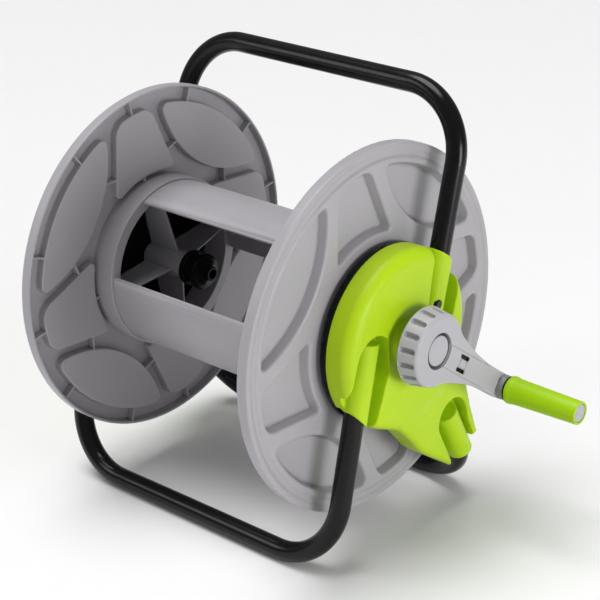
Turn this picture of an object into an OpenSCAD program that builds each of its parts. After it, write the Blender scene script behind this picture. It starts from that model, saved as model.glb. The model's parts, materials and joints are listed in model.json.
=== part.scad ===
// Free-standing garden hose reel: a hand-cranked drum between two dished flanges,
// carried by side covers that clamp three bent steel tubes.
// X runs along the reel axis towards the crank, Y points to the back, Z is up.
// The floor is z = 0. Every size is in millimetres.

/* [Frame] */
// Outside diameter of the frame tube
tube_d = 22; // [18:1:24]
// Wall thickness of the frame tube
tube_wall = 1.2; // [1:0.1:2]
// Distance from the reel's middle to the axis of each leg
tube_x = 190.5; // [190:0.5:192]
// Centreline radius of the tube bends
bend_r = 72; // [60:1:80]
// Height of the handle bar's axis
handle_z = 464; // [455:1:475]
// How far behind the reel axis the handle bar lies
handle_y = 111; // [108:1:114]
// Lean of the handle legs, in degrees
handle_lean = 15.6; // [15:0.1:16]
// How far in front of the reel axis the front foot bar lies
front_y = 111; // [108:1:114]
// Lean of the front legs, in degrees
front_lean = 13.7; // [13:0.1:14]
// How far behind the reel axis the rear foot bar lies
rear_y = 133.5; // [131:0.5:135]
// Lean of the rear legs, in degrees
rear_lean = 26.9; // [26:0.1:28]

/* [Reel] */
// Height of the reel axis above the floor
hub_z = 235; // [233:1:237]
// Radius of the flanges
flange_r = 196.5; // [190:0.5:200]
// Distance from the reel's middle to a flange's outer face
flange_x = 161.5; // [160:0.5:161.5]
// Depth of the flange's turned-in rim
rim_depth = 12.8; // [10:0.2:15]
// Thickness of the moulded walls
wall = 2.6; // [2:0.1:3]
// Depth of the pockets in the flange's outer face
pocket_depth = 9; // [6:0.5:10]
// Outside radius of the drum's two staves
drum_r = 93.5; // [90:0.5:95]
// Angle that each stave spans, in degrees
stave_span = 124; // [110:1:130]
// Angle of the front window's middle above the front horizontal, in degrees
window_lift = 35; // [30:1:40]

/* [Side covers] */
// Radius of the cover disc
cover_r = 96; // [94:0.5:97]
// Distance from the reel's middle to a cover's front face
cover_x = 206; // [205:0.5:207]

/* [Crank] */
// Radius of the knob's rear edge
knob_r = 42; // [40:0.5:44]
// Distance from the reel axis to the grip's axis
crank_len = 142; // [140:1:146]
// Angle of the crank arm below the horizontal, in degrees
crank_drop = 36.5; // [34:0.5:38]
// Length of the grip sleeve
grip_len = 87; // [80:1:95]
// Radius of the grip sleeve at its outer end
grip_r = 12.6; // [12:0.1:14]

/* [Hidden] */
$fn = 96;

tube_r = tube_d / 2;
gap = 0.05;             // clearance of a fixed fit
turn_gap = 0.06;        // radial clearance of a running fit
screw_r = 2;            // shank of the small screws
screw_head_r = 4;
screw_head_h = 2.4;

// A leg is [y, z, angle] of the bar that it starts from: the angle turns +Z onto the leg.
handle_leg = [handle_y, handle_z, 180 - handle_lean];
front_leg = [-front_y, tube_r, -front_lean];
rear_leg = [rear_y, tube_r, rear_lean];
handle_leg_len = 246;
front_leg_len = 241;
rear_leg_len = 118.5;

clock = 180 - window_lift;          // direction of the front window's middle
stave_mids = [clock - 90, clock + 90];
rim_x = flange_x - rim_depth;       // inner edge of the flange's rim
web_x = flange_x - wall;            // inner face of the flange's web
collar_x = 129;                     // inner edge of the drum collars
collar_r = drum_r + 2.65;
collar_in_r = 83;
hook_x = 133;                       // near edge of the hooks on the staves
stave_half = 156;                   // half the length of a stave
stave_wall = 3;
boss_r = 16;
axle_r = 11;
axle_bore_r = 7;
left_boss_x = 107;
right_boss_x = 130;

plate_x = flange_x + 1.1;           // inner face of the back plate
plate_t = 11.5;
plate_r = 98.5;
cover_back_x = plate_x + plate_t + 0.4;
cover_wall = 2.5;
shoulder_r = 14;                    // rounding of the cover's front edge
recess_x = 190;                     // floor of the recesses around the legs
well_r = 38;                        // well around the hub in the cover's face
well_x = 197;
skirt_x = 204;                      // face of the skirt over the rear leg
sheath_r = 14;                      // outside of the half tubes that cover the legs
sheath_trim_r = cover_r + 1.5;      // the upper and front ones end on this radius
cover_boss_r = 19;                  // boss around the shaft, behind the knob
cover_boss_x = 218;
bush_r = 14;

knob_back_x = 220.6;
knob_front_x = 243;
knob_front_r = 37;
arm_back_x = 229;
cap_r = 16;
cap_sunk = 1.6;         // how far the cap lies below the knob's face
cap_gap_r = 19.3;
strip_half = 12;
grip_x = 249;                       // outer end of the spindle's collar
pin_r = 6.5;
grip_y = crank_len * cos(crank_drop);
grip_z = hub_z - crank_len * sin(crank_drop);
ring_t = 2;
sleeve_x = grip_x + ring_t + 0.3;
sleeve_end_x = sleeve_x + grip_len;
plug_t = 3;
shelf_x = sleeve_end_x - 7;         // shoulder inside the sleeve's end

inlet_x = 222;                      // axis of the inlet spout, left of the middle
inlet_r = 14;                       // inlet housing
inlet_end_x = inlet_x + inlet_r;
spout_r = 10;
spout_drop = 34;                    // from the reel axis to the end of the spout

// The origin is the bottom centre of the whole object.
mid_x = (sleeve_end_x - inlet_end_x) / 2;

module placed() translate([-mid_x, 0, 0]) children();

// ---- helpers ----

// A flat outline in Y and Z, extruded along X
module slab(x0, x1) translate([x0, 0, 0]) rotate([90, 0, 90]) linear_extrude(x1 - x0) children();

// A cylinder along X
module rod(r, x0, x1, y = 0, z = hub_z)
    translate([x0, y, z]) rotate([0, 90, 0]) cylinder(r = r, h = x1 - x0);

// A ring along X
module sleeve(r_out, r_in, x0, x1, y = 0, z = hub_z)
    difference() {
        rod(r_out, x0, x1, y, z);
        rod(r_in, x0 - 1, x1 + 1, y, z);
    }

// A solid turned about the reel axis from points [radius, x]
module turned(points, y = 0, z = hub_z)
    translate([0, y, z]) rotate([0, 90, 0]) rotate_extrude() polygon(points);

// Children turned about the reel axis
module about_hub(a) translate([0, 0, hub_z]) rotate([a, 0, 0]) translate([0, 0, -hub_z]) children();

module hub_flat() translate([0, hub_z]) children();

module both_sides() {
    children();
    mirror([1, 0, 0]) children();
}

module on_leg(leg) translate([leg[0], leg[1]]) rotate(leg[2]) children();

// A straight rod on a leg's own axis, from v0 to v1 along it
module leg_rod(leg, r, v0, v1)
    translate([tube_x, leg[0], leg[1]]) rotate([leg[2], 0, 0]) translate([0, 0, v0])
        cylinder(r = r, h = v1 - v0);

// A ring-shaped sector outline between two angles
module sector(r_out, r_in, a0, a1) {
    steps = 4;
    da = (a1 - a0) / steps;
    far = r_out / cos(da / 2) * 1.1;
    intersection() {
        difference() {
            circle(r_out);
            circle(r_in);
        }
        polygon(concat([[0, 0]], [for (i = [0:steps]) far * [cos(a0 + i * da), sin(a0 + i * da)]]));
    }
}

// A small pan-head screw along -X: its head's outer face is at x
module screw(x, y, z, len) {
    rod(screw_head_r, x - screw_head_h, x, y, z);
    rod(screw_r, x - screw_head_h - len, x - screw_head_h, y, z);
}

// A small pan-head screw along +X: its head sits just below x0 and its tip is at x1
module screw_in(x0, x1, at) {
    rod(screw_head_r, x0 - screw_head_h, x0, at[0], at[1]);
    rod(screw_r, x0, x1, at[0], at[1]);
}

// ---- steel frame ----

module u_path(r, leg_len) {
    straight = tube_x - bend_r;
    translate([-straight, 0, 0]) rotate([0, 90, 0]) cylinder(r = r, h = 2 * straight);
    for (s = [0, 1]) mirror([s, 0, 0]) {
        translate([straight, bend_r, 0]) rotate([0, 0, -90])
            rotate_extrude(angle = 90) translate([bend_r, 0]) circle(r);
        translate([tube_x, bend_r, 0]) rotate([-90, 0, 0]) cylinder(r = r, h = leg_len - bend_r);
    }
}

module u_tube(leg, leg_len)
    translate([0, leg[0], leg[1]]) rotate([90 + leg[2], 0, 0]) difference() {
        u_path(tube_r, leg_len);
        u_path(tube_r - tube_wall, leg_len + 1);
    }

module handle_tube() color("#1b1a1b") difference() {
    u_tube(handle_leg, handle_leg_len);
    both_sides() handle_screw_hole(screw_r + 0.2);
}
module front_foot_tube() color("#1b1a1b") difference() {
    u_tube(front_leg, front_leg_len);
    both_sides() front_screw_hole(screw_r + 0.2);
}
module rear_foot_tube() color("#1b1a1b") difference() {
    u_tube(rear_leg, rear_leg_len);
    both_sides() rear_screw_hole(screw_r + 0.2);
}

// Screws through the legs: the handle's from outside, the front leg's from behind the back plate,
// and the rear leg's from behind into its sheath
handle_screw_v = 215;
front_screw_v = 205;
rear_screw_v = 100;
function on_axis(leg, v) = [leg[0] - v * sin(leg[2]), leg[1] + v * cos(leg[2])];
handle_screw_off = 4;   // towards the front of the leg's middle
handle_screw_at = on_axis(handle_leg, handle_screw_v)
    + handle_screw_off * [cos(handle_leg[2]), sin(handle_leg[2])];
front_screw_at = on_axis(front_leg, front_screw_v);
rear_screw_at = on_axis(rear_leg, rear_screw_v);
rear_screw_tip_x = tube_x + sheath_r - 1;

module handle_screw_hole(r) rod(r, plate_x - 1, cover_x + 1, handle_screw_at[0], handle_screw_at[1]);
module front_screw_hole(r) rod(r, plate_x - 1, tube_x - 2, front_screw_at[0], front_screw_at[1]);
module rear_screw_hole(r) rod(r, tube_x - sheath_r, rear_screw_tip_x + 0.2, rear_screw_at[0], rear_screw_at[1]);

module handle_screws() color("#111111") both_sides()
    screw(tube_x + sheath_r, handle_screw_at[0], handle_screw_at[1], 30);

module leg_screws() color("silver") both_sides() {
    screw_in(plate_x + plate_t, plate_x + plate_t + 18, front_screw_at);
    screw_in(tube_x - tube_r - gap, rear_screw_tip_x, rear_screw_at);
}

// ---- side housings: green cover outside, black plate inside ----

function arc(cx, cy, r, a0, a1, n) = [for (i = [0:n]) let (a = a0 + (a1 - a0) * i / n)
    [cx + r * cos(a), cy + r * sin(a)]];

// Screw posts of the cover, from the reel axis
posts = [[5, 80], [-62, 55], [8, -62], [83, -22]];
post_r = 4.5;

module recess_outline(leg, half, v_end, v_round) on_leg(leg) {
    translate([0, v_round]) circle(half);
    translate([-half, v_end]) square([2 * half, v_round - v_end]);
}

// Recesses around the three legs, grown by g for the shell's inside
module recess_outlines(g) {
    recess_outline(handle_leg, 26 + g, 120, 233);
    recess_outline(front_leg, 29.5 + g, 120, 225.5);
    recess_outline(rear_leg, 22 + g, 30, 118);
}

// Outline of the skirt that runs from the disc down over the rear leg
module skirt_outline(g) {
    tip_l = on_axis(rear_leg, 60) - (23 - g) * [cos(rear_lean), sin(rear_lean)];
    tip_r = on_axis(rear_leg, 69) + (23 - g) * [cos(rear_lean), sin(rear_lean)];
    polygon([[-45 + g, 157 + g], [-28 + g, 148 + g], [-14 + g, 138 + g], [-1 + g, 126 + g], [12 + g, 111.5 + g],
        [25 + g, 96 + g], [38 + g, 85 + g], [52 + g, 75.5 + g], tip_l, tip_r,
        [111 - g, 117], [104 - g, 142], [98 - g, 165], [89 - g, 214], [40, 214]]);
}

module disc_shape(r, front, back) {
    cx = front - shoulder_r;
    turned(concat([[0, back], [r, back]], arc(r - shoulder_r, cx, shoulder_r, 0, 90, 8), [[0, front]]));
}

module cover_shell(boss_x) difference() {
    union() {
        difference() {
            union() {
                disc_shape(cover_r, cover_x, cover_back_x);
                slab(cover_back_x, skirt_x) skirt_outline(0);
            }
            difference() {
                union() {
                    disc_shape(cover_r - cover_wall, cover_x - cover_wall, cover_back_x - 1);
                    slab(cover_back_x - 1, skirt_x - cover_wall) skirt_outline(cover_wall);
                }
                slab(recess_x - cover_wall, cover_x + 1) recess_outlines(cover_wall);
                rod(well_r + cover_wall, well_x - cover_wall, cover_x);
            }
            slab(recess_x, cover_x + 1) recess_outlines(0);
            rod(well_r, well_x, cover_x + 1);
        }
        intersection() {
            union() {
                leg_rod(handle_leg, sheath_r, 150, 249.5);
                leg_rod(front_leg, sheath_r, 145, 245);
            }
            rod(sheath_trim_r, cover_back_x, cover_x);
        }
        leg_rod(rear_leg, sheath_r, 53, 121.5);
        rod(cover_boss_r, well_x - 1, boss_x);
        intersection() {
            for (p = posts) rod(post_r, cover_back_x, cover_x - cover_wall + 0.5, p[0], p[1] + hub_z);
            disc_shape(cover_r - 1, cover_x - 1, cover_back_x);
        }
    }
    // the tubes lie in the sheaths, open towards the back plate
    leg_channel(handle_leg, 110, handle_leg_len + 0.5);
    leg_channel(front_leg, 110, front_leg_len + 0.5);
    leg_channel(rear_leg, 20, rear_leg_len + 0.5);
    rear_screw_hole(screw_r + gap);
    for (p = posts) rod(screw_r - 0.4, cover_back_x - 1, cover_back_x + 14, p[0], p[1] + hub_z);
    handle_screw_hole(screw_r + 0.2);
    rod(screw_head_r + 0.3, tube_x + sheath_r - screw_head_h, cover_x + 1,
        handle_screw_at[0], handle_screw_at[1]);
    rod(axle_r + 2.5, cover_back_x - 1, boss_x + 1);
}

// The space that one leg takes out of the cover
module leg_channel(leg, v0, v1) {
    leg_rod(leg, tube_r + gap, v0, v1);
    slab(cover_back_x - 1, tube_x) on_leg(leg)
        translate([-tube_r - gap, v0]) square([2 * (tube_r + gap), v1 - v0]);
}

module right_cover() color("#c3e83c") cover_shell(cover_boss_x);
module left_cover() color("#c3e83c") mirror([1, 0, 0]) cover_shell(cover_x);

module saddle(leg, v) translate([tube_x, leg[0], leg[1]]) rotate([leg[2], 0, 0])
    translate([plate_x + plate_t - tube_x - 0.5, -10, v - 9]) cube([tube_x - plate_x - plate_t - 5, 20, 18]);

module back_plate() difference() {
    union() {
        rod(plate_r, plate_x, plate_x + plate_t);
        saddle(handle_leg, handle_screw_v);
        saddle(front_leg, front_screw_v);
        rod(bush_r + 3, plate_x, plate_x + 14);
    }
    leg_rod(handle_leg, tube_r + gap, 100, handle_leg_len + 5);
    leg_rod(front_leg, tube_r + gap, 100, front_leg_len + 5);
    rod(bush_r + gap, plate_x - 1, plate_x + 20);
    handle_screw_hole(screw_r + gap);
    front_screw_hole(screw_r + 0.2);
    rod(screw_head_r + 0.3, plate_x - 1, plate_x + plate_t, front_screw_at[0], front_screw_at[1]);
    for (p = posts) {
        rod(screw_r + 0.2, plate_x - 1, plate_x + plate_t + 1, p[0], p[1] + hub_z);
        rod(screw_head_r + 0.3, plate_x - 1, plate_x + screw_head_h - 0.4, p[0], p[1] + hub_z);
    }
}
module right_back_plate() color("#161616") back_plate();
module left_back_plate() color("#161616") mirror([1, 0, 0]) back_plate();

module bearing() sleeve(bush_r, axle_r + turn_gap, plate_x + 0.5, plate_x + 14);
module right_bearing() color("#e6e2d6") bearing();
module left_bearing() color("#e6e2d6") mirror([1, 0, 0]) bearing();

module cover_screws() color("silver") both_sides() for (p = posts) {
    y = p[0];
    z = p[1] + hub_z;
    rod(screw_head_r, plate_x + 0.1, plate_x + screw_head_h - 0.5, y, z);
    rod(screw_r - 0.45, plate_x + screw_head_h - 0.5, cover_back_x + 12, y, z);
}

// ---- reel ----

pad_arc_r = 174;        // outer edge of the lens and shield pockets
lens_cut = 118;         // radius at the middle of a lens pocket's inner edge
lens_tip = [150, 86];   // where that edge passes near the lens's tips
shield_cut = 105;       // radius of a shield pocket's inner edge
shield_near = [90, 43.7];   // distance out and half width that set a shield pocket's sides
shield_far = [200, 17];
gusset_turn = 17.5;     // from a lens pad's middle to the gussets beside it
rib_t = 2;
rib_ends = [[129.3, 42], [108.2, 56.3]];    // a rib from a lens pad to the next shield pad

// Lens between two arcs, its middle on the direction a
module lens(g) {
    bow = lens_tip[0] - lens_cut;
    r_in = (bow * bow + lens_tip[1] * lens_tip[1]) / (2 * bow);
    intersection() {
        circle(pad_arc_r + g);
        translate([lens_cut + r_in, 0]) circle(r_in + g);
    }
}

// Shield with a curved top and bottom and leaning sides
module shield(g) intersection() {
    difference() {
        circle(pad_arc_r + g);
        circle(shield_cut - g);
    }
    polygon([[shield_near[0], -shield_near[1] - g], [shield_far[0], -shield_far[1] - g],
        [shield_far[0], shield_far[1] + g], [shield_near[0], shield_near[1] + g]]);
}

module pads(g) for (i = [0:3]) {
    rotate(clock + 90 * i) lens(g);
    rotate(clock + 45 + 90 * i) shield(g);
}

// Straight rib from one point of the inner face to another
module rib(from, to) {
    run = to - from;
    translate(from) rotate(atan2(run[1], run[0])) translate([0, -rib_t / 2]) square([norm(run), rib_t]);
}

// A quarter of the ribs that stiffen the dish, about a lens pad's middle
module quarter_ribs() {
    for (a = [-gusset_turn, gusset_turn, 45]) rotate(a) rib([pad_arc_r - 2, 0], [flange_r - 1.5, 0]);
    rib(rib_ends[0], rib_ends[1]);
    mirror([0, 1]) rib(rib_ends[0], rib_ends[1]);
    rotate(45) rib([collar_r - 1, 0], [shield_cut, 0]);
}

module flange(boss_x) {
    spoke_t = 2.2;
    spoke_x = collar_x + 2;
    difference() {
        union() {
            // dished disc with its turned-in rim
            turned([[collar_in_r, web_x], [flange_r - wall, web_x], [flange_r - wall, rim_x], [flange_r, rim_x],
                [flange_r, flange_x - 1.5], [flange_r - 1.5, flange_x], [189, flange_x],
                [187.5, flange_x - 1.3], [182.5, flange_x - 1.3], [181, flange_x], [collar_in_r, flange_x]]);
            // raised pads on the inner face
            slab(flange_x - pocket_depth - wall, web_x + 0.5) hub_flat() pads(wall);
            slab(rim_x + 1.5, web_x + 0.5) hub_flat() for (i = [0:3]) rotate(clock + 90 * i) quarter_ribs();
            // collar that holds the staves: two walls and a front ring
            sleeve(collar_r, drum_r + gap, collar_x, web_x + 0.5);
            sleeve(collar_in_r + wall, collar_in_r, collar_x, web_x + 0.5);
            sleeve(collar_r - 1, collar_in_r + 1, collar_x, collar_x + wall);
            // spokes and hub
            for (i = [0:3]) about_hub(clock + 45 + 90 * i) translate([0, 0, hub_z - spoke_t / 2])
                linear_extrude(spoke_t) polygon([[boss_x + 5, boss_r - 2], [spoke_x, collar_in_r + 1],
                    [flange_x, collar_in_r + 1], [flange_x, boss_r - 2]]);
            rod(boss_r, boss_x, flange_x);
        }
        slab(flange_x - pocket_depth, flange_x + 1) hub_flat() pads(0);
        rod(axle_r + gap, boss_x - 1, flange_x + 1);
        for (mid = stave_mids) slab(collar_x - 1, collar_x + wall + 1) hub_flat()
            sector(drum_r + gap, drum_r - stave_wall - gap, mid - stave_span / 2 - 0.2, mid + stave_span / 2 + 0.2);
        hooks(0.15);
        translate([boss_x + 12, 0, hub_z]) cylinder(r = 2.05, h = 60, center = true);
    }
}

module left_flange() color("#a9a7ab") mirror([1, 0, 0]) flange(left_boss_x);
module right_flange() color("#b3b1b6") flange(right_boss_x);

// Square hooks near the staves' corners, which snap into the collars' slots
module hooks(g) for (mid = stave_mids, s = [-1, 1]) about_hub(mid + s * (stave_span / 2 - 7))
    translate([hook_x - g, drum_r - 1 - g, hub_z - 6 - g])
        cube([8 + 2 * g, collar_r - drum_r + 1 + (g > 0 ? 2 : 0), 12 + 2 * g]);

module stave(mid) {
    slab(-stave_half, stave_half) hub_flat()
        sector(drum_r, drum_r - stave_wall, mid - stave_span / 2, mid + stave_span / 2);
    intersection() {
        both_sides() hooks(0);
        slab(-stave_half, stave_half) hub_flat() sector(collar_r, 80, mid - stave_span / 2, mid + stave_span / 2);
    }
}
module upper_stave() color("#a9a7ab") stave(stave_mids[0]);
module lower_stave() color("#a9a7ab") stave(stave_mids[1]);

// Hollow axle: water comes in through it from the inlet on the left
axle_end_x = inlet_x;
axle_thread_x = 94.9;               // inner end of the axle's threaded tail
module water_axle() color("#8f8e93") mirror([1, 0, 0]) difference() {
    union() {
        rod(axle_r, left_boss_x, axle_end_x);
        rod(boss_r - 0.5, left_boss_x - 3, left_boss_x - gap);
        rod(9, axle_thread_x, left_boss_x);
    }
    rod(axle_bore_r, axle_thread_x - 1, axle_end_x + 1);
    sleeve(axle_r + 1, axle_r - 1.5, inlet_clip_x - 1.1, inlet_clip_x + 1.1);
    for (x = seal_xs) sleeve(axle_r + 1, axle_r - 1.5, x - 1.1, x + 1.1);
    translate([left_boss_x + 12, 0, hub_z]) cylinder(r = 2.05, h = 60, center = true);
}

// The pins stop short of the water bore
module axle_pin() color("silver") mirror([1, 0, 0]) for (s = [0, 1]) translate([left_boss_x + 12, 0, hub_z])
    mirror([0, 0, s]) translate([0, 0, axle_bore_r + 1]) cylinder(r = 2, h = boss_r - axle_bore_r - 1.5);

module connector_nut() color("#141414") mirror([1, 0, 0]) difference() {
    union() {
        rod(20, 97, 103.8);
        rod(15.5, conn_back_x + 0.05, 97.1);
    }
    rod(9 + gap, 90, 105);
}

// Its tail runs into the nut, and the seal lies between the tail and the axle
conn_tip_x = 70;
conn_bore_r = 5.5;
conn_back_x = 91;
conn_tail_x = 93;
module hose_connector() color("#141414") mirror([1, 0, 0])
    turned([[conn_bore_r, conn_tip_x], [8.3, conn_tip_x], [8.3, 79], [12, 80], [20.5, 80.5],
        [20.5, conn_back_x - 1.5], [19, conn_back_x], [9, conn_back_x], [9, conn_tail_x],
        [conn_bore_r, conn_tail_x]]);
module connector_seal() color("#0c0c0c") mirror([1, 0, 0])
    sleeve(8.9, conn_bore_r + 0.5, conn_tail_x + 0.02, axle_thread_x - 0.02);

module crank_shaft() color("#8f8e93") difference() {
    union() {
        rod(axle_r, right_boss_x - 1, 216);
        rod(boss_r - 0.5, right_boss_x - 4, right_boss_x - gap);
        translate([216, -7, hub_z - 7]) cube([16, 14, 14]);
    }
    translate([right_boss_x + 12, 0, hub_z]) cylinder(r = 2.05, h = 60, center = true);
    rod(2.1, 214, 233);
}
module shaft_pin() color("silver") translate([right_boss_x + 12, 0, hub_z])
    cylinder(r = 2, h = 2 * boss_r - 1, center = true);

// ---- crank ----

// Children placed on the arm: local Y runs out along the arm, in the Y-Z plane
module on_arm() translate([0, hub_z]) rotate(-90 - crank_drop) children();

// Half width of the arm at a distance s from the hub
function arm_half(s) = 13.6 + 23.4 * pow(max(0, 1 - s / 112), 1.9);

module arm_outline(g) on_arm() {
    ends = [for (s = [0:8:136]) s];
    polygon(concat([for (s = ends) [arm_half(s) - g, s]],
        [for (i = [len(ends) - 1:-1:0]) [g - arm_half(ends[i]), ends[i]]]));
    translate([0, crank_len]) circle(13.6 - g);
}

crank_wall = 2.8;
groove_n = 16;
groove_phase = 141.5;
// The grooves leave out the stretch where the arm joins the knob
groove_angles = [for (i = [0:groove_n - 1]) let (a = groove_phase + i * 360 / groove_n)
    if (abs((a + crank_drop + 540) % 360 - 180) > 60) a];

module knob_shape(d) turned([[0, knob_back_x - d], [knob_r - d, knob_back_x - d], [knob_r - d, knob_back_x + 3],
    [knob_front_r + 1.5 - d, knob_front_x - 3 - d / 2], [knob_front_r - 1.5 - d, knob_front_x - d],
    [0, knob_front_x - d]]);

module crank_body() color("#b4b3b8") difference() {
    union() {
        difference() {
            union() {
                knob_shape(0);
                slab(arm_back_x, knob_front_x) arm_outline(0);
            }
            knob_shape(crank_wall);
            slab(arm_back_x - 1, knob_front_x - crank_wall) arm_outline(crank_wall);
        }
        rod(12.5, knob_back_x + 0.5, knob_front_x - 1);
        rod(cap_gap_r + 2.4, knob_front_x - 9.4, knob_front_x - 1);
        rod(11, arm_back_x + 0.5, knob_front_x - 1, grip_y, grip_z);
    }
    translate([200, -7 - gap, hub_z - 7 - gap]) cube([32.1, 14 + 2 * gap, 14 + 2 * gap]);
    rod(cap_gap_r, knob_front_x - 7, knob_front_x + 1);
    rod(2.6, 225, knob_front_x + 1);
    slab(knob_front_x - 1.6, knob_front_x + 1) strip_outline(0.25);
    rod(pin_r + gap, arm_back_x - 1, knob_front_x + 1, grip_y, grip_z);
    for (a = groove_angles) about_hub(a) translate([knob_back_x + 3, knob_r + 0.6, hub_z])
        rotate([0, 90, 0]) cylinder(r = 2.3, h = 15);
}

// Flush strip along the arm with its snap tab
module strip_outline(g) on_arm() difference() {
    translate([-strip_half - g, 16]) square([2 * (strip_half + g), 86 + g]);
    circle(cap_gap_r + 1 - g);
}
latch_half = 7.2;       // from the strip's middle to its slots
latch_slot = [3.8, 17.2];
module crank_strip() color("#b4b3b8") difference() {
    slab(knob_front_x - 1.5, knob_front_x) strip_outline(0);
    for (s = [-1, 1]) slab(knob_front_x - 3, knob_front_x + 1) on_arm()
        translate([s * latch_half - latch_slot[0] / 2, 40.4]) square(latch_slot);
}

module crank_cap() color("#b4b3b8") rod(cap_r, knob_front_x - cap_sunk - 2.6, knob_front_x - cap_sunk);
module crank_screw() color("silver") {
    rod(7, knob_front_x - 7 + gap, knob_front_x - 4.4);
    rod(2.05, 216, knob_front_x - 7 + gap);
}

module grip_spindle() color("#9d9ca1") difference() {
    union() {
        rod(13.4, knob_front_x, grip_x, grip_y, grip_z);
        rod(pin_r, arm_back_x, shelf_x + 0.6, grip_y, grip_z);
    }
    rod(1.6, shelf_x - 16, shelf_x + 2, grip_y, grip_z);
}
module grip_ring() color("#131313") sleeve(14.2, pin_r + gap, grip_x, grip_x + ring_t, grip_y, grip_z);

module grip_sleeve() color("#a6d80c") difference() {
    turned([[0, sleeve_x], [15.2, sleeve_x], [15.2, sleeve_x + 5], [grip_r + 1.8, sleeve_x + 8],
        [grip_r, sleeve_end_x], [0, sleeve_end_x]], grip_y, grip_z);
    rod(pin_r + turn_gap, sleeve_x - 1, sleeve_end_x, grip_y, grip_z);
    rod(10, shelf_x, sleeve_end_x + 1, grip_y, grip_z);
}
module grip_washer() color("silver")
    sleeve(9, 1.7, shelf_x + 0.7, shelf_x + 1.7, grip_y, grip_z);
module grip_screw() color("silver") {
    rod(3.4, shelf_x + 1.75, shelf_x + 3.4, grip_y, grip_z);
    rod(1.55, shelf_x - 14, shelf_x + 1.75, grip_y, grip_z);
}
module grip_plug() color("#a3a1aa") rod(10 - gap, sleeve_end_x - plug_t, sleeve_end_x - 0.6, grip_y, grip_z);

// ---- water inlet on the left ----

seal_xs = [211, 215];
inlet_clip_x = 219;
socket_x = 207.5;

module inlet_elbow() color("#141414") mirror([1, 0, 0]) difference() {
    union() {
        rod(inlet_r, socket_x, inlet_end_x);
        translate([inlet_x, 0, hub_z - spout_drop]) cylinder(r = spout_r, h = spout_drop);
    }
    rod(axle_r + turn_gap, socket_x - 1, axle_end_x + 0.5);
    rod(axle_bore_r, axle_end_x, inlet_end_x - 2.5);
    translate([inlet_x + 4, 0, hub_z - spout_drop - 1]) cylinder(r = 5, h = spout_drop);
    for (s = [-1, 1]) translate([inlet_clip_x, s * (axle_r + 0.4), hub_z])
        cylinder(r = 1.05, h = 40, center = true);
}

// U-shaped wire that drops into the axle's groove and keeps the elbow on it
module inlet_clip() color("silver") mirror([1, 0, 0]) {
    for (s = [-1, 1]) translate([inlet_clip_x, s * (axle_r + 0.4), hub_z - 13])
        cylinder(r = 1, h = 28);
    translate([inlet_clip_x, -axle_r - 1.4, hub_z + 14.6]) cube([2, 2 * axle_r + 2.8, 2]);
}

module inlet_seals() color("#0c0c0c") mirror([1, 0, 0]) for (x = seal_xs)
    translate([x, 0, hub_z]) rotate([0, 90, 0]) rotate_extrude() translate([axle_r - 0.75, 0]) circle(0.74);

nut_top = hub_z - spout_drop + 8;
module inlet_nut() color("#c3e83c") mirror([1, 0, 0]) translate([inlet_x, 0, nut_top - 14]) difference() {
    union() {
        cylinder(r = 13, h = 14);
        for (i = [0:11]) rotate(30 * i) translate([12.6, -1.2, 1]) cube([1.2, 2.4, 12]);
    }
    translate([0, 0, 5.9]) cylinder(r = spout_r + gap, h = 10);
    translate([0, 0, -1]) cylinder(r = 9 + gap, h = 10);
}
module inlet_connector() color("#141414") mirror([1, 0, 0]) translate([inlet_x, 0, nut_top - 14]) difference() {
    union() {
        translate([0, 0, -0.3]) cylinder(r = 9, h = 6.1);
        translate([0, 0, -4]) cylinder(r = 11, h = 3.9);
        translate([0, 0, -22]) cylinder(r = 8.3, h = 18.1);
        translate([0, 0, -14]) cylinder(r = 9.6, h = 3);
    }
    translate([0, 0, -23]) cylinder(r = 5, h = 40);
}

placed() handle_tube();
placed() front_foot_tube();
placed() rear_foot_tube();
placed() right_cover();
placed() left_cover();
placed() right_back_plate();
placed() left_back_plate();
placed() right_bearing();
placed() left_bearing();
placed() leg_screws();
placed() handle_screws();
placed() cover_screws();
placed() left_flange();
placed() right_flange();
placed() upper_stave();
placed() lower_stave();
placed() water_axle();
placed() axle_pin();
placed() connector_nut();
placed() hose_connector();
placed() connector_seal();
placed() crank_shaft();
placed() shaft_pin();
placed() crank_body();
placed() crank_strip();
placed() crank_screw();
placed() crank_cap();
placed() grip_spindle();
placed() grip_ring();
placed() grip_washer();
placed() grip_screw();
placed() grip_sleeve();
placed() grip_plug();
placed() inlet_elbow();
placed() inlet_clip();
placed() inlet_seals();
placed() inlet_nut();
placed() inlet_connector();
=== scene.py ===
"""Looks of the garden hose reel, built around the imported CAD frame.

Moulded parts are solids written as signed distances in millimetres, in reel coordinates:
x from mid-reel towards the crank, y to the back and w up from the reel axis.
"""
import json
import math

import bpy
import numpy as np
from mathutils import Matrix, Vector


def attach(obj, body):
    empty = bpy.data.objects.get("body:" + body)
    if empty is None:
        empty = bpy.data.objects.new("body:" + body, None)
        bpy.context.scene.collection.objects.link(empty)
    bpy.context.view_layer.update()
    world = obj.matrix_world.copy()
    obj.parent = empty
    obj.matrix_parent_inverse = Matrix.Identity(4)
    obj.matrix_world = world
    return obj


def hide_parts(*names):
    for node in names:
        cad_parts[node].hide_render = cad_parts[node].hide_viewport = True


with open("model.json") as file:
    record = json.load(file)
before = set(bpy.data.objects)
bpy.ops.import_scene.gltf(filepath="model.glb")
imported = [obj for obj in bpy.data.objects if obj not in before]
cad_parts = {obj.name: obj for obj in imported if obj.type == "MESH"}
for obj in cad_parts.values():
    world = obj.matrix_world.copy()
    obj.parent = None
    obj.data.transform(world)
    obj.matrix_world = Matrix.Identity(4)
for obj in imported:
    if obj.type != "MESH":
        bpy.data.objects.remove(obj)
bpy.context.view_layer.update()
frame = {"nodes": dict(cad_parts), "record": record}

nodes = frame["nodes"]

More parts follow.
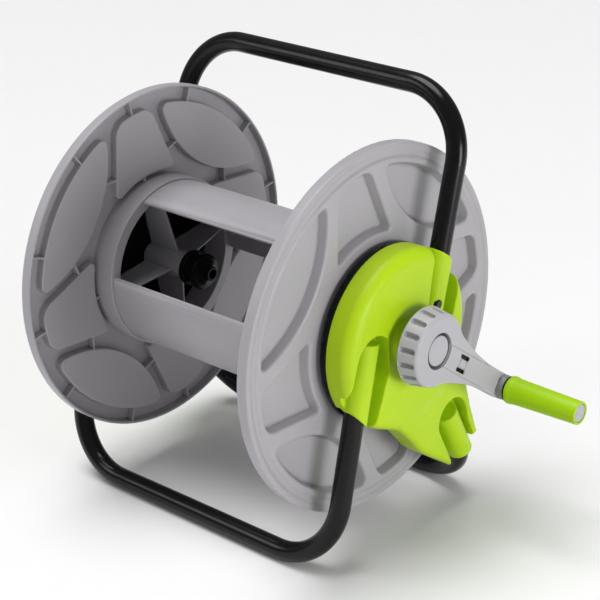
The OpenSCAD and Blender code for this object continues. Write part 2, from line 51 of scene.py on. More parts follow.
MM = 0.001
MID_X = 51.15                 # mid-reel, measured from the frame's origin, towards -X
HUB_Z = 235.0

# ---------------------------------------------------------------- camera and light

LENS = 110.53
SENSOR = 36
CAMERA_AT = (1.1878, -1.3304, 1.03319)
CAMERA_TURN = (41.6, 24.04, -1.17)      # azimuth, elevation and roll, in degrees
LAMPS_AIM = Vector((0, 0, 0.22))
SKY_FROM = Vector((-0.35, -0.1, 1.6))
SKY_ANGLE = math.radians(40)
SKY_POWER = 2.4
WORLD_POWER = 0.28


def look(azimuth, elevation, roll):
    """Camera rotation for a viewing direction, in degrees."""
    a, e, r = (math.radians(v) for v in (azimuth, elevation, roll))
    forward = Vector((-math.sin(a) * math.cos(e), math.cos(a) * math.cos(e), -math.sin(e)))
    right = forward.cross(Vector((0, 0, 1))).normalized()
    up = right.cross(forward)
    side = right * math.cos(r) + up * math.sin(r)
    top = up * math.cos(r) - right * math.sin(r)
    return Matrix((side, top, -forward)).transposed()


camera_data = bpy.data.cameras.new("camera")
camera_data.lens = LENS
camera_data.sensor_width = SENSOR
camera = bpy.data.objects.new("camera", camera_data)
camera.matrix_world = Matrix.Translation(CAMERA_AT) @ look(*CAMERA_TURN).to_4x4()
bpy.context.scene.collection.objects.link(camera)
bpy.context.scene.camera = camera


def area_light(name, place, size, power):
    """A rectangular softbox aimed at the reel."""
    data = bpy.data.lights.new(name, "AREA")
    data.shape = "RECTANGLE"
    data.size, data.size_y = size
    data.energy = power
    lamp = bpy.data.objects.new(name, data)
    lamp.location = place
    lamp.rotation_euler = (LAMPS_AIM - Vector(place)).to_track_quat("-Z", "Y").to_euler()
    bpy.context.scene.collection.objects.link(lamp)


area_light("right_softbox", (2.8, -0.1, 0.75), (1.1, 1.1), 36)
area_light("left_softbox", (-1.7, -1.9, 1.7), (0.9, 1.1), 10)

sun_data = bpy.data.lights.new("sky_panel", "SUN")
sun_data.energy = SKY_POWER
sun_data.angle = SKY_ANGLE
sun = bpy.data.objects.new("sky_panel", sun_data)
sun.rotation_euler = SKY_FROM.to_track_quat("Z", "Y").to_euler()
bpy.context.scene.collection.objects.link(sun)

world = bpy.data.worlds.new("studio")
bpy.context.scene.world = world
world.use_nodes = True
world.node_tree.nodes["Background"].inputs["Color"].default_value = (1, 1, 1, 1)
world.node_tree.nodes["Background"].inputs["Strength"].default_value = WORLD_POWER
bpy.context.scene.view_settings.view_transform = "Standard"

# ---------------------------------------------------------------- materials

BLOTCH_SCALE = 11             # noise scales of the wide and fine colour and of the gloss
FINE_SCALE = 240
GLOSS_SCALE = 38
FINE_SHARE = 0.35
# Painted shade: concave corners and creases are darkened to this share of the plain colour.
CORNER_SHADE_TONE = 0.25            # of the plain colour, in corners
WEAR_GAIN = 1.25
BUMP_STRENGTH = 0.5


def coloured(rgb):
    """A colour with full opacity."""
    return (*rgb, 1)


def material(name, rgb, rough, tint=0.05, grain=2200, grain_depth=0.00002, wear=0.0, metal=0.0,
             rough_range=0.05, wear_rgb=None, corner_shade=0.0, shine=0.5):
    """A plastic, paint or metal with blotchy colour, uneven gloss, fine grain, worn edges, and painted shade
    darkening its concave corners.
    """
    made = bpy.data.materials.new(name)
    made.use_nodes = True
    tree = made.node_tree
    shader = tree.nodes["Principled BSDF"]
    shader.inputs["Metallic"].default_value = metal
    shader.inputs["Specular IOR Level"].default_value = shine
    link = tree.links.new

    def node(kind, **values):
        made_node = tree.nodes.new(kind)
        for key, value in values.items():
            setattr(made_node, key, value)
        return made_node

    place = node("ShaderNodeTexCoord")

    def noise(scale, detail):
        texture = node("ShaderNodeTexNoise")
        texture.inputs["Scale"].default_value = scale
        texture.inputs["Detail"].default_value = detail
        link(place.outputs["Object"], texture.inputs["Vector"])
        return texture.outputs["Fac"]

    def spread(value, low, high):
        ranged = node("ShaderNodeMapRange")
        ranged.inputs["From Min"].default_value = 0.3
        ranged.inputs["From Max"].default_value = 0.7
        ranged.inputs["To Min"].default_value = low
        ranged.inputs["To Max"].default_value = high
        link(value, ranged.inputs["Value"])
        return ranged.outputs["Result"]

    def mix(factor, a, b):
        mixed = node("ShaderNodeMix", data_type="RGBA")
        for value, socket in ((factor, 0), (a, 6), (b, 7)):
            if isinstance(value, tuple):
                mixed.inputs[socket].default_value = value
            else:
                link(value, mixed.inputs[socket])
        return mixed.outputs[2]

    dark = coloured([c * (1 - tint) for c in rgb])
    light = coloured([min(1, c * (1 + tint)) for c in rgb])
    colour = mix(spread(noise(BLOTCH_SCALE, 3), 0, 1), dark, light)
    fine_dark = coloured([c * (1 - tint / 2) for c in rgb])
    fine = mix(spread(noise(FINE_SCALE, 4), 0, 1), fine_dark, light)
    halves = node("ShaderNodeMix", data_type="RGBA")
    halves.inputs[0].default_value = FINE_SHARE
    link(colour, halves.inputs[6])
    link(fine, halves.inputs[7])
    colour = halves.outputs[2]
    if corner_shade or wear:
        geometry = node("ShaderNodeNewGeometry")
    # Painted shade: the colour is darkened where the surface is concave, in corners and creases.
    if corner_shade:
        hollow = node("ShaderNodeMapRange")
        hollow.inputs["From Min"].default_value = 0.49
        hollow.inputs["From Max"].default_value = 0.40
        hollow.inputs["To Max"].default_value = corner_shade
        link(geometry.outputs["Pointiness"], hollow.inputs["Value"])
        colour = mix(hollow.outputs["Result"], colour, coloured([c * CORNER_SHADE_TONE for c in rgb]))
    if wear:
        edge = node("ShaderNodeMapRange")
        edge.inputs["From Min"].default_value = 0.52
        edge.inputs["From Max"].default_value = 0.62
        edge.inputs["To Max"].default_value = wear
        link(geometry.outputs["Pointiness"], edge.inputs["Value"])
        worn = wear_rgb or [min(1, c * WEAR_GAIN + 0.03) for c in rgb]
        colour = mix(edge.outputs["Result"], colour, coloured(worn))
    link(colour, shader.inputs["Base Color"])
    link(spread(noise(GLOSS_SCALE, 5), rough - rough_range, rough + rough_range), shader.inputs["Roughness"])
    bump = node("ShaderNodeBump")
    bump.inputs["Strength"].default_value = BUMP_STRENGTH
    bump.inputs["Distance"].default_value = grain_depth
    link(noise(grain, 2), bump.inputs["Height"])
    link(bump.outputs["Normal"], shader.inputs["Normal"])
    return made


# The green, grey and crank plastics carry painted shade in their corners.
PAINTS = {
    "frame_paint": material("frame_paint", (0.0035, 0.003, 0.0035), 0.2, tint=0.2, grain=900,
                            grain_depth=0.00003, wear=0.08, wear_rgb=(0.02, 0.02, 0.02), shine=0.25),
    "green_plastic": material("green_plastic", (0.44, 0.65, 0.008), 0.4, tint=0.05, wear=0.3, corner_shade=0.7,
                              shine=0.25),
    "grip_plastic": material("grip_plastic", (0.36, 0.61, 0.001), 0.42, tint=0.05, wear=0.3, shine=0.25),
    "black_plastic": material("black_plastic", (0.004, 0.004, 0.004), 0.22, tint=0.25, wear=0.2,
                              wear_rgb=(0.02, 0.02, 0.02), shine=0.15),
    "bearing_plastic": material("bearing_plastic", (0.72, 0.69, 0.6), 0.4, tint=0.04),
    "zinc_steel": material("zinc_steel", (0.6, 0.6, 0.58), 0.3, tint=0.08, metal=1.0, grain=1500),
    "black_screw": material("black_screw", (0.006, 0.006, 0.006), 0.35, tint=0.2),
    "grey_plastic": material("grey_plastic", (0.385, 0.37, 0.395), 0.42, tint=0.03, wear=0.4, corner_shade=0.8),
    "crank_plastic": material("crank_plastic", (0.42, 0.41, 0.44), 0.42, tint=0.03, wear=0.4, corner_shade=0.8),
    "dark_grey_plastic": material("dark_grey_plastic", (0.26, 0.26, 0.26), 0.42, tint=0.05, wear=0.4),
    "seal_rubber": material("seal_rubber", (0.006, 0.006, 0.006), 0.5, tint=0.2, grain=1500),
}
for part in frame["record"]["subparts"]:
    o = nodes[part["node"]]
    o.data.materials.clear()
    o.data.materials.append(PAINTS[part["material_slot"]])

# ---------------------------------------------------------------- distances

GRADIENT_STEP = 0.02
SURFACE_STEPS = 4
LEAST_SLOPE = 0.05
MOST_SHIFT = 0.75             # of the grid's pitch


def both(a, b, r=0.0):
    """Where a and b overlap, its outer edge rounded to radius r."""
    if r == 0:
        return np.maximum(a, b)
    corner = np.hypot(np.maximum(a + r, 0), np.maximum(b + r, 0))
    return np.minimum(np.maximum(a, b), -r) + corner


def either(a, b, r=0.0):
    """a and b together, with a fillet of radius r between them."""
    return -both(-a, -b, r)


def without(a, b, r=0.0):
    """a with b cut away, the cut's edge rounded to radius r."""
    return both(a, -b, r)


def step_up(v, low, high):
    """0 below low and 1 above high, eased between."""
    t = np.clip((v - low) / (high - low), 0, 1)
    return t * t * (3 - 2 * t)


def polygon_distance(points, y, z):
    """Signed distance to a closed outline, negative inside."""
    near = np.full(np.broadcast(y, z).shape, 1e9)
    inside = np.zeros(near.shape, bool)
    for (ya, za), (yb, zb) in zip(points, points[1:] + points[:1]):
        ey, ez = yb - ya, zb - za
        t = np.clip(((y - ya) * ey + (z - za) * ez) / (ey * ey + ez * ez), 0, 1)
        near = np.minimum(near, np.hypot(y - ya - t * ey, z - za - t * ez))
        if ez != 0:
            crosses = (za > z) != (zb > z)
            inside ^= crosses & (y < ya + ey * (z - za) / ez)
    return np.where(inside, -near, near)


def net(field, low, high, pitch):
    """Vertices and quads of the surface where field is 0, by surface nets refined onto the surface."""
    axes = [np.arange(low[i] - pitch, high[i] + 1.5 * pitch, pitch) for i in range(3)]
    shape = tuple(len(a) for a in axes)
    grid = np.broadcast_to(
        field(axes[0][:, None, None], axes[1][None, :, None], axes[2][None, None, :]), shape
    ).astype(np.float32)
    inside = grid < 0
    total = sum(
        inside[i:shape[0] - 1 + i, j:shape[1] - 1 + j, k:shape[2] - 1 + k].astype(np.int8)
        for i in (0, 1) for j in (0, 1) for k in (0, 1)
    )
    cells = np.argwhere((total > 0) & (total < 8))
    number = np.full(tuple(n - 1 for n in shape), -1, np.int64)
    number[tuple(cells.T)] = np.arange(len(cells))
    summed = np.zeros((len(cells), 3))
    count = np.zeros(len(cells))
    corners = [np.array((i, j, k)) for i in (0, 1) for j in (0, 1) for k in (0, 1)]
    for a in corners:
        for b in corners:
            if (b - a).min() >= 0 and (b - a).sum() == 1:
                va = grid[tuple((cells + a).T)].astype(float)
                vb = grid[tuple((cells + b).T)].astype(float)
                cut = (va < 0) != (vb < 0)
                t = np.where(cut, va / np.where(cut, va - vb, 1), 0)
                summed[cut] += (a + t[:, None] * (b - a))[cut]
                count += cut
    places = np.stack([axes[i][0] + pitch * (cells[:, i] + summed[:, i] / count) for i in range(3)], 1)
    faces = []
    for axis in range(3):
        p, q = (axis + 1) % 3, (axis + 2) % 3
        here = [slice(1, -1)] * 3
        there = [slice(1, -1)] * 3
        here[axis], there[axis] = slice(0, -1), slice(1, None)
        turn = inside[tuple(here)].astype(np.int8) - inside[tuple(there)].astype(np.int8)
        at = np.argwhere(turn != 0)
        signs = turn[tuple(at.T)]
        at[:, p] += 1
        at[:, q] += 1
        ring = []
        for dp, dq in ((-1, -1), (0, -1), (0, 0), (-1, 0)):
            c = at.copy()
            c[:, p] += dp
            c[:, q] += dq
            ring.append(number[tuple(c.T)])
        quad = np.stack(ring, 1)
        quad[signs < 0] = quad[signs < 0][:, ::-1]
        faces.append(quad)
    # step each vertex onto the surface along the field's gradient
    h = GRADIENT_STEP
    start = places.copy()
    for _ in range(SURFACE_STEPS):
        x, y, w = places.T
        value = field(x, y, w)
        slope = np.stack([
            field(x + h, y, w) - field(x - h, y, w),
            field(x, y + h, w) - field(x, y - h, w),
            field(x, y, w + h) - field(x, y, w - h)], 1) / (2 * h)
        size = np.maximum((slope ** 2).sum(1), LEAST_SLOPE)
        places = places - (value / size)[:, None] * slope
        places = np.clip(places, start - MOST_SHIFT * pitch, start + MOST_SHIFT * pitch)
    return places, np.concatenate(faces)


def mesh_piece(name, parts, paint, body, stands_for=(), mirrored=False):
    """One object from nets in reel coordinates, riding on a body."""
    vertices, faces, offset = [], [], 0
    for v, f in parts:
        vertices.append(v)
        faces.append(f + offset)
        offset += len(v)
    vertices, faces = np.concatenate(vertices), np.concatenate(faces)
    if mirrored:
        vertices = vertices * (-1, 1, 1)
        faces = faces[:, ::-1]
    vertices = (vertices + (-MID_X, 0, HUB_Z)) * MM
    mesh = bpy.data.meshes.new(name)
    mesh.vertices.add(len(vertices))
    mesh.vertices.foreach_set("co", vertices.astype(np.float32).ravel())
    mesh.loops.add(faces.size)
    mesh.loops.foreach_set("vertex_index", faces.astype(np.int32).ravel())
    mesh.polygons.add(len(faces))
    mesh.polygons.foreach_set("loop_start", np.arange(0, faces.size, faces.shape[1], dtype=np.int32))
    mesh.polygons.foreach_set("use_smooth", np.ones(len(faces), bool))
    mesh.update(calc_edges=True)
    mesh.validate()
    mesh.materials.append(PAINTS[paint])
    made = bpy.data.objects.new(name, mesh)
    bpy.context.scene.collection.objects.link(made)
    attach(made, body)
    if stands_for:
        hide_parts(*stands_for)


def turned_piece(name, profile, paint, body, axis=(0, 0), steps=96, stands_for=(), mirrored=False):
    """A ring or disc turned about an axis along X through (y, w) from points (x, radius)."""
    points = []
    for x, r in profile:
        for i in range(steps):
            a = 2 * math.pi * i / steps
            points.append((x, axis[0] + r * math.cos(a), axis[1] + r * math.sin(a)))
    faces = []
    n = len(profile)
    for j in range(n):
        k = (j + 1) % n
        for i in range(steps):
            m = (i + 1) % steps
            faces.append((j * steps + i, k * steps + i, k * steps + m, j * steps + m))
    shape = (np.array(points, float), np.array(faces))
    mesh_piece(name, [shape], paint, body, stands_for, mirrored)


def rounded(corners, r=0.5, cuts=4):
    """A closed profile of (x, radius) corners with each corner rounded."""
    out = []
    n = len(corners)
    for i in range(n):
        p0, p1, p2 = (np.array(corners[(i + d) % n], float) for d in (-1, 0, 1))
        a, b = p0 - p1, p2 - p1
        la, lb = np.linalg.norm(a), np.linalg.norm(b)
        a, b = a / la, b / lb
        cut = min(r, la * 0.45, lb * 0.45)
        if cut < 1e-6:
            out.append(tuple(p1))
            continue
        for t in np.linspace(0, 1, cuts + 1):
            first, last = p1 + a * cut, p1 + b * cut
            out.append(tuple((1 - t) ** 2 * first + 2 * t * (1 - t) * p1 + t ** 2 * last))
    return out


# ---------------------------------------------------------------- flanges

FLANGE_R = 196.5
FLANGE_X = 161.5
RIM_X = 148.7
CLOCK = math.radians(145)
POCKET_X = 152.2
GUSSET = math.radians(17.5)
SKIN = 2.9
GROOVE_R = 185.5              # middle of the groove inside the rim
PAD_R = 175.5                 # outer edge of the pockets
LENS_NEAR = 118               # distance of a lens pocket's inner edge
LENS_BOW = 131.56             # radius of that edge
SHIELD_NEAR = 104.5
POCKET_DRAFT = 0.3            # slope of the pocket walls
RIM_WALL = 2.6
RIB_FRONT_X = 150.2
RIB_HALF = 0.95
HUB_CUT_R = 84
COLLAR_R = 94.9
INNER_R = 84.3
RING_R = 89.5
COLLAR_FRONT_X = 129
COLLAR_WALL = 1.3             # half thickness
SPOKE_HALF = 1.1
SPOKE_FRONT_X = 119
BOSS_R = 13.5
DIAGONAL = 0.70711
PITCH = 1.2


def folded(y, w):
    """Coordinates in the eighth from a lens pocket's middle to a shield pocket's middle."""
    c, s = math.cos(CLOCK), math.sin(CLOCK)
    p, q = np.abs(y * c + w * s), np.abs(w * c - y * s)
    return np.maximum(p, q), np.minimum(p, q)


def pockets(y, w):
    """Outlines of the lens and shield pockets on the outer face."""
    r = np.hypot(y, w)
    p, q = folded(y, w)
    lens = both(r - PAD_R, np.hypot(p - LENS_NEAR - LENS_BOW, q) - LENS_BOW, 9)
    along, across = (p + q) * DIAGONAL, (p - q) * DIAGONAL
    side = (across - 40.2 + 0.2425 * (along - 107.7)) / 1.029
    shield = both(both(r - PAD_R, side, 10), SHIELD_NEAR - r, 7)
    return np.minimum(lens, shield)


def line_distance(start, end, p, q):
    """Distance in the plane to the straight line between two points."""
    ep, eq = end[0] - start[0], end[1] - start[1]
    t = np.clip(((p - start[0]) * ep + (q - start[1]) * eq) / (ep * ep + eq * eq), 0, 1)
    return np.hypot(p - start[0] - t * ep, q - start[1] - t * eq)


def dish_ribs(y, w):
    """Plan of the thin ribs of the inner face: rim gussets, ribs between pads and short collar ribs."""
    p, q = folded(y, w)
    ribs = line_distance((173 * math.cos(GUSSET), 173 * math.sin(GUSSET)),
                         (195 * math.cos(GUSSET), 195 * math.sin(GUSSET)), p, q)
    ribs = np.minimum(ribs, line_distance((129.3, 42), (108.2, 56.3), p, q))
    ribs = np.minimum(ribs, line_distance((122.3, 122.3), (138, 138), p, q))
    return np.minimum(ribs, line_distance((67, 67), (75, 75), p, q)) - RIB_HALF


def dish(x, y, w):
    """Pocketed and ribbed disc of a flange, outside the hub."""
    r = np.hypot(y, w)
    flat = pockets(y, w)
    body = both(r - FLANGE_R, x - FLANGE_X, 2.2)
    body = without(body, both(np.abs(r - GROOVE_R) - 3.6, FLANGE_X - 1.1 - x, 1.0), 2.5)
    deep = FLANGE_X - x
    pocket = both(flat + POCKET_DRAFT * deep, POCKET_X - x, 1.2)
    body = without(body, pocket, 2.0)
    foot = flat + POCKET_DRAFT * (FLANGE_X - POCKET_X)
    crease = both(np.abs(foot + 1.2) - 1.2, POCKET_X - 0.9 - x, 0.3)
    body = without(body, crease, 0.3)
    hollow = both(r - FLANGE_R + RIM_WALL, x - FLANGE_X + RIM_WALL, 1.5)
    raised = both(flat - 2.2, POCKET_X - SKIN - x, 0.6)
    ribs = both(dish_ribs(y, w), RIB_FRONT_X - x, 0.3)
    hollow = without(hollow, np.minimum(raised, ribs), 0.8)
    body = without(body, hollow, 0.6)
    body = both(body, RIM_X - x, 0.8)
    return both(body, HUB_CUT_R - r)


def hub(boss_x):
    """Collar, front ring, spokes and boss of a flange."""
    c, s = math.cos(CLOCK + math.pi / 4), math.sin(CLOCK + math.pi / 4)

    def field(x, y, w):
        r = np.hypot(y, w)
        back = x - FLANGE_X + 0.6
        ends = np.maximum(COLLAR_FRONT_X - x, back)
        collar = both(np.abs(r - COLLAR_R) - COLLAR_WALL, ends, 0.5)
        inner = both(np.abs(r - INNER_R) - COLLAR_WALL, ends, 0.5)
        ring = both(np.abs(r - RING_R) - 6.0, np.abs(x - 130.3) - COLLAR_WALL, 0.3)
        web = both(np.abs(r - RING_R) - 6.5, np.abs(x - 160) - COLLAR_WALL)
        whole = either(either(collar, inner, 0.4), either(ring, web), 0.6)
        p, q = np.abs(y * c + w * s), np.abs(w * c - y * s)
        front = boss_x + 12 + (SPOKE_FRONT_X - boss_x) * np.clip((r - 14) / 70, 0, 1)
        reach = np.maximum(np.maximum(front - x, r - 84.5), back)
        spokes = both(np.minimum(p, q) - SPOKE_HALF, reach, 0.5)
        boss = both(np.abs(r - BOSS_R) - 2.5, np.maximum(boss_x - x, back), 0.8)
        return either(whole, either(spokes, boss, 1.5), 1.0)

    return field


dish_net = net(dish, (RIM_X, -FLANGE_R, -FLANGE_R), (FLANGE_X, FLANGE_R, FLANGE_R), PITCH)
for side, boss_x in (("left", 107), ("right", 130)):
    hub_net = net(hub(boss_x), (min(boss_x, COLLAR_FRONT_X), -97, -97), (FLANGE_X, 97, 97), PITCH * 0.8)
    mesh_piece(side + "_flange_shell", [dish_net, hub_net], "grey_plastic", "reel",
               (side + "_flange",), mirrored=side == "left")

# ---------------------------------------------------------------- side covers

TUBE_X = 190.5
TUBE_HOLE_R = 11.08
BAR_Z = 11                    # height of the foot bars' axes
HANDLE_Y, HANDLE_Z, HANDLE_LEAN = 111, 464, 15.6
REAR_Y, REAR_LEAN = 133.5, 26.9
LEGS = {
    "handle": (HANDLE_Y, HANDLE_Z, 180 - HANDLE_LEAN),
    "front": (-111, BAR_Z, -13.7),
    "rear": (REAR_Y, BAR_Z, REAR_LEAN),
}
HANDLE_SCREW = (4, 215)       # across and along the handle's leg
COVER_X = 206
COVER_R = 96
COVER_BACK_X = 174.5
COVER_EDGE = 14               # rounding of the disc's front edge
COVER_WALL = 2.5
SKIRT_X = 204
SKIRT_EDGE = 7
HOLLOW_DEPTH = 7              # dish round the hub
FOLD_R = 14                   # outside of the folds over the tubes
RECESS_FLOOR_X = 187.5
RECESS_DRAFT = 0.04
AXLE_HOLE_R = 13.5


def on_leg(leg, y, w):
    """(across, along) a leg from its bar."""
    y0, z0, angle = LEGS[leg]
    a = math.radians(angle)
    dy, dz = y - y0, w + HUB_Z - z0
    return dy * math.cos(a) + dz * math.sin(a), dz * math.cos(a) - dy * math.sin(a)


def slot_outline(across, along, half, top):
    """Outline of a slot of half width half with a round end at top."""
    return np.where(along > top, np.hypot(across, along - top) - half, np.abs(across) - half)


def skirt_points():
    """Outline of the cover's skirt, which ends in two tips beside the rear leg."""
    lean = math.radians(REAR_LEAN)

    def tip(along, across):
        return (REAR_Y - along * math.sin(lean) + across * math.cos(lean),
                BAR_Z + along * math.cos(lean) + across * math.sin(lean) - HUB_Z)

    left, right = tip(60, -25.5), tip(64, 24)
    low = [(-52, 162), (-42, 155.5), (-28, 148), (-14, 138), (-1, 126), (12, 111.5),
           (25, 96), (38, 85), (52, 75.5)]
    high = [(112, 117), (105, 142), (98, 165), (88, 205), (60, 214), (0, 200), (-40, 175)]
    return ([(y, z - HUB_Z) for y, z in low] + [left, tip(63.5, -20), tip(66, 17), right]
            + [(y, z - HUB_Z) for y, z in high])


SKIRT = skirt_points()


def cover(boss_x):
    """A hollow side cover with its tube folds and recesses."""
    def field(x, y, w):
        r = np.hypot(y, w)
        body = both(r - COVER_R, x - COVER_X, COVER_EDGE)
        body = both(body, x - COVER_X + HOLLOW_DEPTH * (1 - step_up(r, 22, 42)))
        skirt = both(polygon_distance(SKIRT, y, w), x - SKIRT_X, SKIRT_EDGE)
        body = either(body, skirt, SKIRT_EDGE)
        body = either(body, both(r - 19, x - boss_x, 2.5), 6)
        a, v = on_leg("handle", y, w)
        recess = slot_outline(a - 0.5, v, 27 - 3.5 * step_up(v, 170, 220), 233)
        a, v = on_leg("front", y, w)
        a = np.where(a < 0, a * 1.09, a)
        outer_half = 29.5 - 2 * (1 - step_up(v, 195, 222)) - 11 * (1 - step_up(v, 163, 197))
        inner_half = 29.5 - 5 * (1 - step_up(v, 196, 222)) - 4.5 * (1 - step_up(v, 160, 200))
        recess = np.minimum(recess, slot_outline(a, v, np.where(a < 0, outer_half, inner_half), 226))
        a, v = on_leg("rear", y, w)
        half = np.where(a + 3.3 < 0, 24, 24 - 4.8 * (1 - step_up(v, 88, 115)))
        recess = np.minimum(recess, slot_outline(a + 3.3, v, half, 118))
        cut = both(recess + RECESS_DRAFT * (COVER_X - x), RECESS_FLOOR_X - x, 2)
        body = without(body, cut, 1.4)
        for leg, low, high in (("handle", None, 249.5), ("front", None, 245), ("rear", 56.5, 120.5)):
            a, v = on_leg(leg, y, w)
            tube = np.hypot(a, x - TUBE_X) - FOLD_R
            if low is None:
                ends = np.maximum(v - high, 140 - v)
                tube = both(both(tube, ends, 1), r - COVER_R - 1.5, 1)
            else:
                tube = both(tube, np.maximum(v - high, low - v), 1.2)
            body = either(body, tube, 1.5)
        shell = without(body, body + COVER_WALL)
        for leg, reach in (("handle", 246.5), ("front", 241.5), ("rear", 118.7)):
            a, v = on_leg(leg, y, w)
            channel = np.minimum(np.hypot(a, x - TUBE_X) - TUBE_HOLE_R,
                                 np.maximum(np.abs(a) - TUBE_HOLE_R, x - TUBE_X))
            shell = without(shell, np.maximum(channel, v - reach), 0.4)
        a, v = on_leg("rear", y, w)
        slit = np.maximum(np.abs(a - 15.3) - 0.8, np.abs(v - 101) - 17)
        shell = without(shell, np.maximum(slit, 176 - x))
        lean = math.radians(HANDLE_LEAN)
        across, along = HANDLE_SCREW
        y0 = HANDLE_Y - along * math.sin(lean) - across * math.cos(lean)
        w0 = HANDLE_Z - along * math.cos(lean) - HUB_Z + across * math.sin(lean)
        shell = without(shell, np.maximum(np.hypot(y - y0, w - w0) - 4.9, 200 - x), 0.5)
        shell = without(shell, r - AXLE_HOLE_R, 0.5)
        return both(shell, COVER_BACK_X - x, 0.5)

    return field


for side, boss_x in (("left", COVER_X), ("right", 218)):
    cover_low, cover_high = (COVER_BACK_X, -98, -194), (max(boss_x, COVER_X), 130, 98)
    cover_net = net(cover(boss_x), cover_low, cover_high, PITCH * 0.85)
    mesh_piece(side + "_cover_shell", [cover_net], "green_plastic", "frame",
               (side + "_cover",), mirrored=side == "left")

housing = [(162.7, 14.5), (162.7, 90), (167, 90), (167.4, 96), (174, 96), (174, 14.5)]
for side in ("left", "right"):
    turned_piece(side + "_housing_back", rounded(housing, 0.8), "black_plastic", "frame",
                 stands_for=(side + "_back_plate",), mirrored=side == "left")

# ---------------------------------------------------------------- crank

DROP = math.radians(36.5)
CRANK_LEN = 142
KNOB_X = 243
KNOB_BACK_X = 220.6
KNOB_R = 42
KNOB_TAPER = 0.18             # radius lost per mm towards the front
ARM_HALF = 13.6               # half width of the arm's end
GROOVE_STEP = math.radians(22.5)
GROOVE_START = math.radians(141.5)
CAP_WELL_R = 19.3
STRIP_BACK_X = 241.3
ARM_BACK_X = 229
LATCH_FLOOR_X = 230.5
FREE_OF_ARM = math.radians(58)
LATCH_S = 49


def on_arm(y, w):
    """(across, along) the crank arm from the reel axis."""
    return y * math.sin(DROP) + w * math.cos(DROP), y * math.cos(DROP) - w * math.sin(DROP)


def crank(x, y, w):
    """Ribbed knob and arm, with a well for the cap and a seat for the strip."""
    r = np.hypot(y, w)
    t, s = on_arm(y, w)
    surface_r = KNOB_R - KNOB_TAPER * (x - KNOB_BACK_X)
    knob = both(both(r - surface_r, x - KNOB_X, 3.2), KNOB_BACK_X - x, 1.2)
    half = ARM_HALF + 23.4 * np.clip(1 - s / 112, 0, 1) ** 1.9
    end = np.hypot(t, s - CRANK_LEN) - ARM_HALF
    outline = np.where(s > CRANK_LEN, end, (np.abs(t) - half) * 0.92)
    outline = np.where(s < 0, np.maximum(outline, -s), outline)
    arm = both(outline, x - KNOB_X + 0.8 * step_up(s, 104, 128), 2.2)
    arm = without(arm, np.maximum(127.4 - s, KNOB_X - 2.4 - x), 0.4)
    arm = both(arm, ARM_BACK_X - x, 1.5)
    body = either(knob, arm, 3)
    body = both(body, x - KNOB_X)
    # finger grooves round the knob
    angle = np.arctan2(w, y) - GROOVE_START
    turn = (angle + GROOVE_STEP / 2) % GROOVE_STEP - GROOVE_STEP / 2
    past = np.maximum(np.abs(x - 230.8) - 5.6, 0)
    groove = np.sqrt((r * np.sin(turn)) ** 2 + (0.6 * (r * np.cos(turn) - surface_r)) ** 2 + past ** 2) - 3.1
    on_neck = np.abs((np.arctan2(w, y) + DROP + math.pi) % (2 * math.pi) - math.pi)
    groove = np.where(on_neck > FREE_OF_ARM, groove, 5.0)
    body = without(body, groove, 0.4)
    # cap well, and the strip's seat
    body = without(body, np.maximum(r - CAP_WELL_R, 223 - x), 0.4)
    seat = np.maximum(np.maximum(np.abs(t) - 12.1, s - 102.1), 10 - s)
    body = without(body, np.maximum(seat, STRIP_BACK_X - x), 0.2)
    inside = np.maximum(np.abs(t) - 10, np.abs(s - LATCH_S) - 10.5)
    return without(body, np.maximum(np.maximum(inside, LATCH_FLOOR_X - x), CAP_WELL_R - r))


def strip(x, y, w):
    """Thin plate on the arm with the latch's two slots and square."""
    r = np.hypot(y, w)
    t, s = on_arm(y, w)
    plan = np.maximum(np.maximum(np.abs(t) - 11.95, s - 101.95), 19.8 - r)
    plate = both(plan, np.abs(x - 242.15) - 0.85, 0.3)
    plate = np.maximum(plate, -s)
    slots = both(np.abs(np.abs(t) - 7.2) - 2.1, np.abs(s - LATCH_S) - 8.7, 1.6)
    square = both(np.abs(t) - 4.6, np.abs(s - LATCH_S) - 6.6, 0.8)
    frame_line = np.maximum(np.abs(square) - 0.5, 241.7 - x)
    return without(without(plate, slots, 0.3), frame_line)


def shadow(x, y, w):
    """Block that fills the hollow behind the latch."""
    t, s = on_arm(y, w)
    return both(np.maximum(np.abs(t) - 9.8, np.abs(s - LATCH_S) - 10.3), np.abs(x - 236) - 5, 0.4)


crank_net = net(crank, (KNOB_BACK_X, -42, -100), (KNOB_X, 130, 42), PITCH * 0.62)
mesh_piece("crank_shell", [crank_net], "crank_plastic", "reel", ("crank_body",))
strip_net = net(strip, (241.4, -10, -72), (KNOB_X, 92, 12), PITCH * 0.4)
mesh_piece("crank_latch_strip", [strip_net], "crank_plastic", "reel", ("crank_strip",))
shadow_net = net(shadow, (231, -10, -60), (241, 70, 10), PITCH * 0.8)
mesh_piece("crank_latch_shadow", [shadow_net], "black_plastic", "reel")
cap = [(232, 0.01), (232, 9), (238.8, 9), (238.8, 16), (241.3, 16), (241.4, 8), (241.4, 0.01)]
turned_piece("crank_cap_disc", rounded(cap, 0.7), "crank_plastic", "reel", stands_for=("crank_cap",))
# Painted shade: a black disc at the bottom of the cap's well makes the narrow gap round the cap read black.
well_shade_disc = [(223.2, 9.2), (223.2, 19.2), (225, 19.2), (225, 9.2)]
turned_piece("crank_well_shade_disc", rounded(well_shade_disc, 0.4), "black_plastic", "reel")

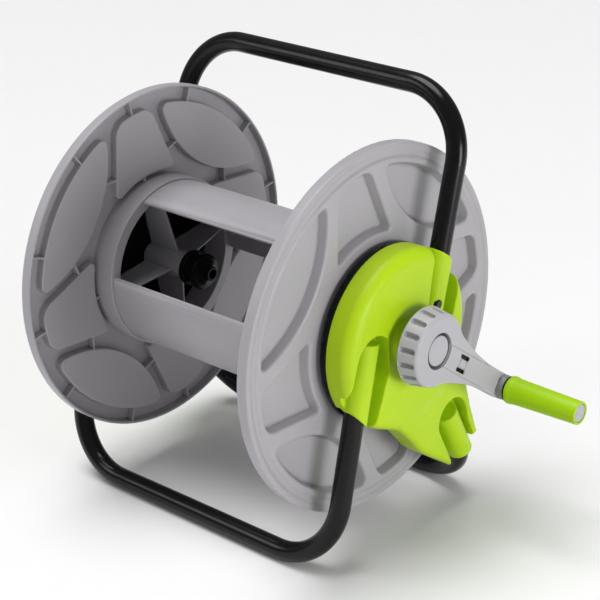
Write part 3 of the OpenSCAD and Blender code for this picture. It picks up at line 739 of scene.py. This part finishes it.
grip_at = (CRANK_LEN * math.cos(DROP), -CRANK_LEN * math.sin(DROP))
collar = [(229, 0.01), (229, 6.5), (240.3, 6.5), (240.3, 13.6), (247.6, 13.2), (249, 12.4),
          (249, 6.5), (331.8, 6.5), (331.8, 0.01)]
turned_piece("grip_collar", rounded(collar, 0.6), "dark_grey_plastic", "reel", grip_at,
             stands_for=("grip_spindle",))
ring = [(249.05, 6.6), (249.05, 14), (250.9, 14), (250.9, 6.6)]
turned_piece("grip_black_ring", rounded(ring, 0.6), "black_plastic", "reel", grip_at,
             stands_for=("grip_ring",))
handle = [(251.3, 6.6), (251.3, 14.6), (252.6, 15.2), (256.4, 15.1), (259, 14.3), (296, 13.4),
          (338.3, 12.6), (338.3, 10.1), (331.3, 10.1), (331.3, 6.6)]
turned_piece("grip_handle", rounded(handle, 1.0), "grip_plastic", "grip", grip_at,
             stands_for=("grip_sleeve",))
end_disc = [(335.3, 0.01), (335.3, 9.9), (337.5, 9.9), (337.9, 6), (338, 0.01)]
turned_piece("grip_end_disc", rounded(end_disc, 0.5), "crank_plastic", "grip", grip_at,
             stands_for=("grip_plug",))

# ---------------------------------------------------------------- hose connector in the drum

nut = [(-104, 11.6), (-104, 18.8), (-102.6, 20), (-97.4, 20), (-96.4, 18.8),
       (-96.4, 16), (-91.4, 16), (-91.4, 11.6)]
turned_piece("connector_ring", rounded(nut, 0.7), "black_plastic", "reel", stands_for=("connector_nut",))
connector = [(-91, 5.5), (-91, 17.2), (-90.2, 18.2), (-88.6, 18.2), (-88, 19.4),
             (-86.5, 20.3), (-82, 20.3), (-80.4, 19), (-79.6, 14.6), (-78.4, 13.4),
             (-77.6, 11), (-76.6, 10.2), (-76, 8.3), (-73.8, 8.3), (-73.6, 7.2),
             (-72, 7.2), (-71.8, 8.3), (-70.4, 8.3), (-70, 7.6), (-70, 5.5)]
turned_piece("connector_body", rounded(connector, 0.35), "black_plastic", "reel",
             stands_for=("hose_connector",))

# ---------------------------------------------------------------- rounded edges on the kept CAD parts

def soften(name, width):
    """Rounds a CAD part's sharp edges."""
    o = nodes[name]
    weld = o.modifiers.new("weld", "WELD")
    weld.merge_threshold = 0.00001
    bevel = o.modifiers.new("bevel", "BEVEL")
    bevel.width = width * MM
    bevel.segments = 3
    bevel.limit_method = "ANGLE"
    bevel.angle_limit = math.radians(38)
    bevel.harden_normals = True


for name in ("upper_stave", "lower_stave"):
    soften(name, 0.6)

# ---------------------------------------------------------------- floor

bpy.ops.mesh.primitive_plane_add(size=30, location=(0, 0, 0))
floor = bpy.context.object
floor.name = "floor"
floor.data.materials.append(material("floor_paint", (0.86, 0.86, 0.86), 0.6, tint=0.004, grain=400))
